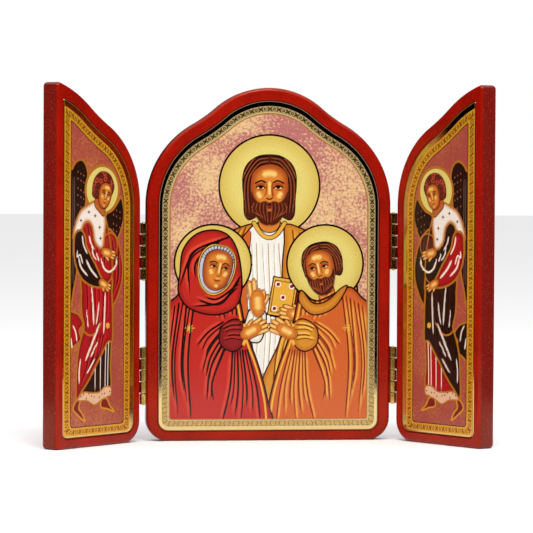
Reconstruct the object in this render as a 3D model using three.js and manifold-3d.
// A standing triptych altarpiece for a shelf: an arched centre board with a printed icon plate, and two
// half-width wing boards on brass hinges that fold shut over it.
// Millimetres, +Z up. The front faces -Y. The origin is the middle of the centre board's underside.
import * as THREE from "three";
import { mergeVertices } from "three/addons/utils/BufferGeometryUtils.js";
import Module from "manifold-3d";

const manifold = await Module();
manifold.setup();

const degrees = THREE.MathUtils.degToRad;

// Boards
const BOARD_THICKNESS = 8.7;
const EDGE_RADIUS = 1.5; // the soft edge round the front and the back of every board
const CENTRE_WIDTH = 104.5;
const CENTRE_OUTLINE = {
  reach: CENTRE_WIDTH / 2, // from the middle line to the side
  top: 150,
  domeRadius: 33.9,
  domeSlope: 0, // the outline's slope where it meets the middle line
  hollowRadius: 64.8,
  shoulderRadius: 39.5,
  shoulderSlope: degrees(30), // the slope where the shoulder gives way to the hollow
  footRadius: 9.5,
};
const WING_OUTLINE = {
  reach: 51.8, // from the free edge to the hinge side: half of the centre board
  top: 151.2,
  domeRadius: 55.9,
  domeSlope: degrees(14.3),
  hollowRadius: 99.9,
  shoulderRadius: 37.6,
  shoulderSlope: degrees(29.4),
  footRadius: 9.1,
};
const WING_CORNER_RADIUS = 1.8; // the free edge's two corners

// Icon plates: each lies in a shallow pocket of its board
const CENTRE_MARGINS = { side: 4.8, top: 5.2, foot: 4 };
const WING_MARGINS = { side: 4.1, top: 5.4, foot: 4, free: 3.7 };
const NO_MARGINS = { side: 0, top: 0, foot: 0, free: 0 };
const POCKET_DEPTH = 0.9;
const PLATE_THICKNESS = 0.4;
const PLATE_SINK = 0.2; // how far the plate's face lies below the board's
const CLEARANCE = 0.3; // between pieces that touch or face each other
const PLATE_CORNER_RADIUS = 0.6; // the wing plate's upper free corner, which is nearly sharp
const PLATE_HEEL_RADIUS = 2.6; // its lower free corner

// Hinges
const HINGE_LENGTH = 24;
const HINGE_GAP = 2.5; // between the side faces of two boards that lie flat
const AXIS_FORWARD = 0.15; // the hinge axis stands this far in front of the boards' faces
const KNUCKLE_COUNT = 5;
const KNUCKLE_GAP = 0.3;
const BARREL_RADIUS = 1.5;
const BORE_RADIUS = 0.8;
const PIN_RADIUS = 0.72;
const PIN_STAND_OUT = 0.5;
const LEAF_THICKNESS = 0.65;
const LEAF_DEPTH = 7; // from the axis to the leaf's rear edge
const HINGE_HEIGHTS = { left: { upper: 80.5, lower: 27.8 }, right: { upper: 85, lower: 27.8 } };

// How far each wing stands forward of flat
const WING_ANGLES = { left: degrees(43.8), right: degrees(57.1) };

const ARC_STEP = degrees(6);
const FRONT_Y = -BOARD_THICKNESS / 2;
const AXIS_X = CENTRE_WIDTH / 2 + HINGE_GAP / 2;
const AXIS_Y = FRONT_Y - AXIS_FORWARD;

const LACQUER = new THREE.MeshStandardMaterial({ color: "#8e1a0c", roughness: 0.45, metalness: 0 });
const GILT_PRINT = new THREE.MeshStandardMaterial({ color: "#c79c3c", roughness: 0.3, metalness: 0.6 });
const BRASS = new THREE.MeshStandardMaterial({ color: "#c2a25a", roughness: 0.35, metalness: 1 });

function toSolid(geometry) {
  const bare = geometry.index ? geometry.toNonIndexed() : geometry.clone();
  bare.deleteAttribute("normal");
  bare.deleteAttribute("uv");
  const merged = mergeVertices(bare, 1e-4);
  const mesh = new manifold.Mesh({
    numProp: 3,
    vertProperties: merged.getAttribute("position").array,
    triVerts: new Uint32Array(merged.index.array),
  });
  return new manifold.Manifold(mesh);
}

function toGeometry(solid) {
  const mesh = solid.getMesh();
  const geometry = new THREE.BufferGeometry();
  geometry.setAttribute("position", new THREE.BufferAttribute(mesh.vertProperties, 3));
  geometry.setIndex(new THREE.BufferAttribute(mesh.triVerts, 1));
  geometry.computeVertexNormals();
  return geometry;
}

function named(name, geometry, material) {
  const mesh = new THREE.Mesh(geometry, material);
  mesh.name = name;
  return mesh;
}

// Points of an arc, from one angle to the other, both ends included.
function arc(centreX, centreY, radius, from, to) {
  const steps = Math.max(2, Math.ceil(Math.abs(to - from) / ARC_STEP));
  return Array.from({ length: steps + 1 }, (_, i) => {
    const angle = from + ((to - from) * i) / steps;
    return new THREE.Vector2(centreX + radius * Math.cos(angle), centreY + radius * Math.sin(angle));
  });
}

// One side of an arched outline, from its top at x = 0 to the foot of its side: a dome arc, a hollow arc that
// bends the other way, a shoulder arc that ends upright, and a round foot. Margins move it inwards.
function archedSide(outline, margins) {
  const { reach, top, domeRadius, domeSlope, hollowRadius } = outline;
  const { shoulderRadius, shoulderSlope, footRadius } = outline;
  const { side, top: upper, foot } = margins;
  const shoulderX = reach - shoulderRadius;
  const hollowX = shoulderX + (shoulderRadius + hollowRadius) * Math.sin(shoulderSlope);
  const domeX = -domeRadius * Math.sin(domeSlope);
  const meetSlope = Math.asin((hollowX - domeX) / (hollowRadius + domeRadius));
  const domeZ = top - (upper - side) - domeRadius * Math.cos(domeSlope);
  const hollowZ = domeZ + (domeRadius + hollowRadius) * Math.cos(meetSlope);
  const shoulderZ = hollowZ - (shoulderRadius + hollowRadius) * Math.cos(shoulderSlope);
  const upright = Math.PI / 2;
  return [
    ...arc(domeX, domeZ, domeRadius - side, upright - domeSlope, upright - meetSlope),
    ...arc(hollowX, hollowZ, hollowRadius + side, -upright - meetSlope, -upright - shoulderSlope).slice(1),
    ...arc(shoulderX, shoulderZ, shoulderRadius - side, upright - shoulderSlope, 0).slice(1),
    ...arc(reach - footRadius, foot + footRadius - side, footRadius - side, 0, -upright),
  ];
}

// A pocket's margins with the clearance added, for the plate that lies in it.
function widened(margins) {
  return Object.fromEntries(Object.entries(margins).map(([name, margin]) => [name, margin + CLEARANCE]));
}

function centreShape(margins) {
  const right = archedSide(CENTRE_OUTLINE, margins);
  const left = right.slice(1).map((point) => new THREE.Vector2(-point.x, point.y));
  return new THREE.Shape([...right, ...left.reverse()]);
}

// A wing's shape with x measured outwards from the hinge axis, so its free edge is at the far end.
function wingShape(side, margins, cornerRadius, heelRadius) {
  const freeX = margins.free;
  const arch = archedSide(WING_OUTLINE, margins).filter((point) => point.x > freeX + cornerRadius);
  const slope = WING_OUTLINE.domeSlope;
  const cornerX = freeX + cornerRadius;
  const upperZ = arch[0].y + (arch[0].x - cornerX) * Math.tan(slope) - cornerRadius / Math.cos(slope);
  const upper = arc(cornerX, upperZ, cornerRadius, Math.PI, Math.PI / 2 - slope);
  const lower = arc(freeX + heelRadius, margins.foot + heelRadius, heelRadius, -Math.PI / 2, -Math.PI);
  const hingeToFree = HINGE_GAP / 2 + WING_OUTLINE.reach;
  const outward = (point) => new THREE.Vector2(side * (hingeToFree - point.x), point.y);
  return new THREE.Shape([...upper, ...arch, ...lower].map(outward));
}

// A flat piece cut to a shape that stands upright, from one depth behind the boards' faces to another.
function uprightSlab(shape, frontDepth, backDepth, edgeRadius = 0) {
  const geometry = new THREE.ExtrudeGeometry(shape, {
    depth: backDepth - frontDepth - 2 * edgeRadius,
    bevelEnabled: edgeRadius > 0,
    bevelThickness: edgeRadius,
    bevelSize: edgeRadius,
    bevelOffset: -edgeRadius,
    bevelSegments: 3,
  });
  geometry.rotateX(Math.PI / 2);
  geometry.translate(0, backDepth - edgeRadius, 0);
  return geometry;
}

function board(shape, pocketShape) {
  const slab = toSolid(uprightSlab(shape, 0, BOARD_THICKNESS, EDGE_RADIUS));
  const pocket = toSolid(uprightSlab(pocketShape, -1, POCKET_DEPTH));
  return toGeometry(slab.subtract(pocket));
}

function plate(shape) {
  return uprightSlab(shape, PLATE_SINK, PLATE_SINK + PLATE_THICKNESS);
}

function box(x0, x1, y0, y1, z0, z1) {
  const geometry = new THREE.BoxGeometry(Math.abs(x1 - x0), y1 - y0, z1 - z0);
  geometry.translate((x0 + x1) / 2, (y0 + y1) / 2, (z0 + z1) / 2);
  return geometry;
}

function uprightCylinder(radius, length, sides) {
  const geometry = new THREE.CylinderGeometry(radius, radius, length, sides);
  geometry.rotateX(Math.PI / 2);
  return geometry;
}

// One leaf with its knuckles, about the hinge axis. The fixed leaf has the outer and the middle knuckles, the
// moving leaf the two between them.
function hingeLeaf(direction, firstKnuckle) {
  const near = direction * (HINGE_GAP / 2 - CLEARANCE - LEAF_THICKNESS);
  const far = direction * (HINGE_GAP / 2 - CLEARANCE);
  const half = HINGE_LENGTH / 2;
  const pitch = (HINGE_LENGTH + KNUCKLE_GAP) / KNUCKLE_COUNT;
  const plateStart = BARREL_RADIUS + CLEARANCE;
  let leaf = toSolid(box(near, far, plateStart, LEAF_DEPTH, -half, half));
  for (let i = firstKnuckle; i < KNUCKLE_COUNT; i += 2) {
    const bottom = -half + i * pitch;
    const top = bottom + pitch - KNUCKLE_GAP;
    const knuckle = uprightCylinder(BARREL_RADIUS, top - bottom, 20).translate(0, 0, (top + bottom) / 2);
    leaf = leaf.add(toSolid(box(near, far, 0, plateStart + CLEARANCE, bottom, top))).add(toSolid(knuckle));
  }
  const bore = toSolid(uprightCylinder(BORE_RADIUS, HINGE_LENGTH + 2, 16));
  return toGeometry(leaf.subtract(bore));
}

function hingePin() {
  const half = HINGE_LENGTH / 2;
  const tip = half + PIN_STAND_OUT;
  const profile = [
    [0, -tip],
    [PIN_RADIUS * 0.7, -tip + 0.15],
    [PIN_RADIUS, -half],
    [PIN_RADIUS, half],
    [PIN_RADIUS * 0.7, tip - 0.15],
    [0, tip],
  ].map(([x, y]) => new THREE.Vector2(x, y));
  return new THREE.LatheGeometry(profile, 12).rotateX(Math.PI / 2);
}

function centrePanel() {
  const panel = new THREE.Group();
  panel.position.y = FRONT_Y;
  panel.add(named("centre_board", board(centreShape(NO_MARGINS), centreShape(CENTRE_MARGINS)), LACQUER));
  panel.add(named("centre_icon_plate", plate(centreShape(widened(CENTRE_MARGINS))), GILT_PRINT));
  return panel;
}

// A wing board, its plate and its hinges' moving leaves, about the hinge axis and lying flat.
function wing(label, side) {
  const group = new THREE.Group();
  group.position.set(side * AXIS_X, AXIS_Y, 0);
  group.rotation.z = -side * WING_ANGLES[label];
  const panel = new THREE.Group();
  panel.position.y = AXIS_FORWARD;
  const whole = wingShape(side, NO_MARGINS, WING_CORNER_RADIUS, WING_CORNER_RADIUS);
  const corner = PLATE_CORNER_RADIUS;
  const heel = PLATE_HEEL_RADIUS;
  const pocket = wingShape(side, WING_MARGINS, corner + CLEARANCE, heel + CLEARANCE);
  const print = wingShape(side, widened(WING_MARGINS), corner, heel);
  panel.add(named(`${label}_wing_board`, board(whole, pocket), LACQUER));
  panel.add(named(`${label}_icon_plate`, plate(print), GILT_PRINT));
  group.add(panel);
  for (const [place, height] of Object.entries(HINGE_HEIGHTS[label])) {
    const leaf = named(`${label}_${place}_hinge_moving_leaf`, hingeLeaf(side, 1), BRASS);
    leaf.position.z = height;
    group.add(leaf);
  }
  return group;
}

// The hinge parts that stay with the centre board.
function fixedHingeParts(label, side) {
  const group = new THREE.Group();
  group.position.set(side * AXIS_X, AXIS_Y, 0);
  for (const [place, height] of Object.entries(HINGE_HEIGHTS[label])) {
    const leaf = named(`${label}_${place}_hinge_fixed_leaf`, hingeLeaf(-side, 0), BRASS);
    const pin = named(`${label}_${place}_hinge_pin`, hingePin(), BRASS);
    leaf.position.z = height;
    pin.position.z = height;
    group.add(leaf, pin);
  }
  return group;
}

const triptych = new THREE.Group();
triptych.add(centrePanel());
for (const [label, side] of [["left", -1], ["right", 1]]) {
  triptych.add(wing(label, side), fixedHingeParts(label, side));
}

export default triptych;
